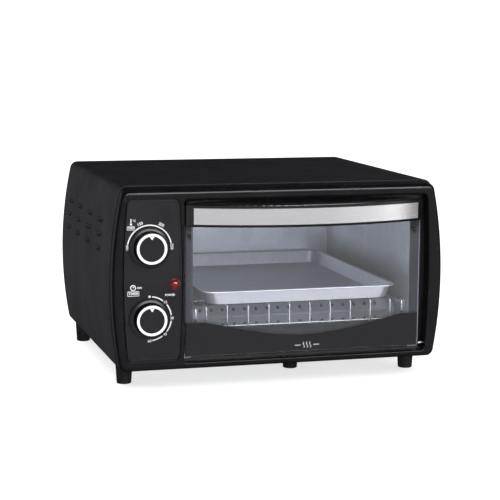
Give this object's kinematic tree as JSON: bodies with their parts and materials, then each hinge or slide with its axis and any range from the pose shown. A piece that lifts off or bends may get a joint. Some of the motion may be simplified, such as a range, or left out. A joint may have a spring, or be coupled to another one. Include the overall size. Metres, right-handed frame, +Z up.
{
  "type": "toaster oven",
  "caption": "Countertop toaster oven with a drop-down glass door and bowed bar handle, a wire rack and baking tray inside, and round temperature and timer dials beside the door.",
  "frame": {"origin": "bottom centre of the whole oven's box, on the surface that its feet stand on", "axes": "+X to the right as seen from the front, -Y out through the door, +Z up"},
  "size_m": [0.36, 0.336, 0.2112],
  "materials": {
    "black_painted_steel": "satin black powder coat",
    "black_moulding": "satin black",
    "black_control_panel": "fine satin black",
    "gloss_black_moulding": "gloss black",
    "knob_plastic": "gloss black",
    "knob_ring": "polished",
    "white_mark": "white print",
    "brushed_strip": "brushed along its length",
    "door_glass": "clear toughened glass",
    "door_steel": "dark grey coated steel",
    "black_front_frame": "black enamel",
    "cavity_lining": "aluminised steel",
    "zinc_plated_steel": "zinc plated",
    "steel_fasteners": "bright steel",
    "rack_chrome": "bright plated wire",
    "tray_metal": "satin steel",
    "quartz": "frosted quartz",
    "heating_wire": "dark oxidised wire",
    "ceramic": "white ceramic",
    "brass_bell": "plain brass",
    "red_lens": "translucent red",
    "lamp_holder": "black",
    "gland_plastic": "black nylon",
    "wire_insulation": "white heat-resistant sleeve",
    "foot_rubber": "moulded black"
  },
  "bodies": {
    "oven": {"cabinet_wrap": "black_painted_steel", "bottom_plate": "zinc_plated_steel", "back_panel": "black_painted_steel", "back_panel_screws": "steel_fasteners", "front_bezel": "black_moulding", "control_panel": "black_control_panel", "control_bracket": "zinc_plated_steel", "control_bracket_screws": "steel_fasteners", "cavity_front_frame": "black_front_frame", "rack_guide_left": "zinc_plated_steel", "rack_guide_right": "zinc_plated_steel", "heater_tubes": "quartz", "heater_coils": "heating_wire", "heater_end_caps": "ceramic", "heat_shield": "zinc_plated_steel", "thermostat_body": "ceramic", "timer_body": "zinc_plated_steel", "timer_bell": "brass_bell", "lamp_lens": "red_lens", "lamp_body": "lamp_holder", "cord_gland": "gland_plastic", "terminal_block": "ceramic", "wiring": "wire_insulation", "foot_screws": "steel_fasteners", "cavity_left_wall": "cavity_lining", "cavity_right_wall": "cavity_lining", "cavity_top": "cavity_lining", "cavity_floor": "cavity_lining", "cavity_back_wall": "cavity_lining", "heater_guard_lower_front": "cavity_lining", "heater_guard_lower_rear": "cavity_lining", "heater_guard_upper_front": "cavity_lining", "heater_guard_upper_rear": "cavity_lining", "foot_front_left": "foot_rubber", "foot_front_right": "foot_rubber", "foot_front_middle": "foot_rubber", "foot_rear_left": "foot_rubber", "foot_rear_right": "foot_rubber"},
    "door": {"door_glass": "door_glass", "door_bracket_left": "door_steel", "door_bracket_right": "door_steel", "door_bracket_rivets": "black_front_frame", "door_hinge_pin_left": "steel_fasteners", "door_hinge_pin_right": "steel_fasteners", "door_stay_left": "door_steel", "door_stay_right": "door_steel", "door_handle": "gloss_black_moulding", "door_handle_strip": "brushed_strip", "door_handle_screws": "steel_fasteners"},
    "temperature_dial": {"temperature_knob": "knob_plastic", "temperature_knob_ring": "knob_ring", "temperature_knob_pointer": "white_mark", "thermostat_shaft": "steel_fasteners"},
    "timer_dial": {"timer_knob": "knob_plastic", "timer_knob_ring": "knob_ring", "timer_knob_pointer": "white_mark", "timer_shaft": "steel_fasteners"},
    "rack": {"wire_rack": "rack_chrome"},
    "tray": {"bake_tray": "tray_metal"}
  },
  "joints": [
    {"name": "door_hinge", "type": "hinge", "parent": "oven", "child": "door", "pos_m": [0.02575, -0.131, 0.0352], "axis": [1, 0, 0], "range_deg": [0, 85]},
    {"name": "temperature_knob_turn", "type": "hinge", "parent": "oven", "child": "temperature_dial", "pos_m": [-0.141, -0.14, 0.1496], "axis": [0, 1, 0], "range_deg": [-90, 90]},
    {"name": "timer_knob_turn", "type": "hinge", "parent": "oven", "child": "timer_dial", "pos_m": [-0.141, -0.14, 0.0764], "axis": [0, 1, 0], "range_deg": [0, 180]},
    {"name": "rack_slide", "type": "slide", "parent": "oven", "child": "rack", "axis": [0, -1, 0], "range_m": [0, 0.06]},
    {"name": "tray_lift", "type": "slide", "parent": "rack", "child": "tray", "axis": [0, 0, 1], "range_m": [0, 0.02]}
  ],
  "couplings": [
    {"joint": "rack_slide", "follows": "door_hinge", "m_per_rad": 0.04}
  ]
}
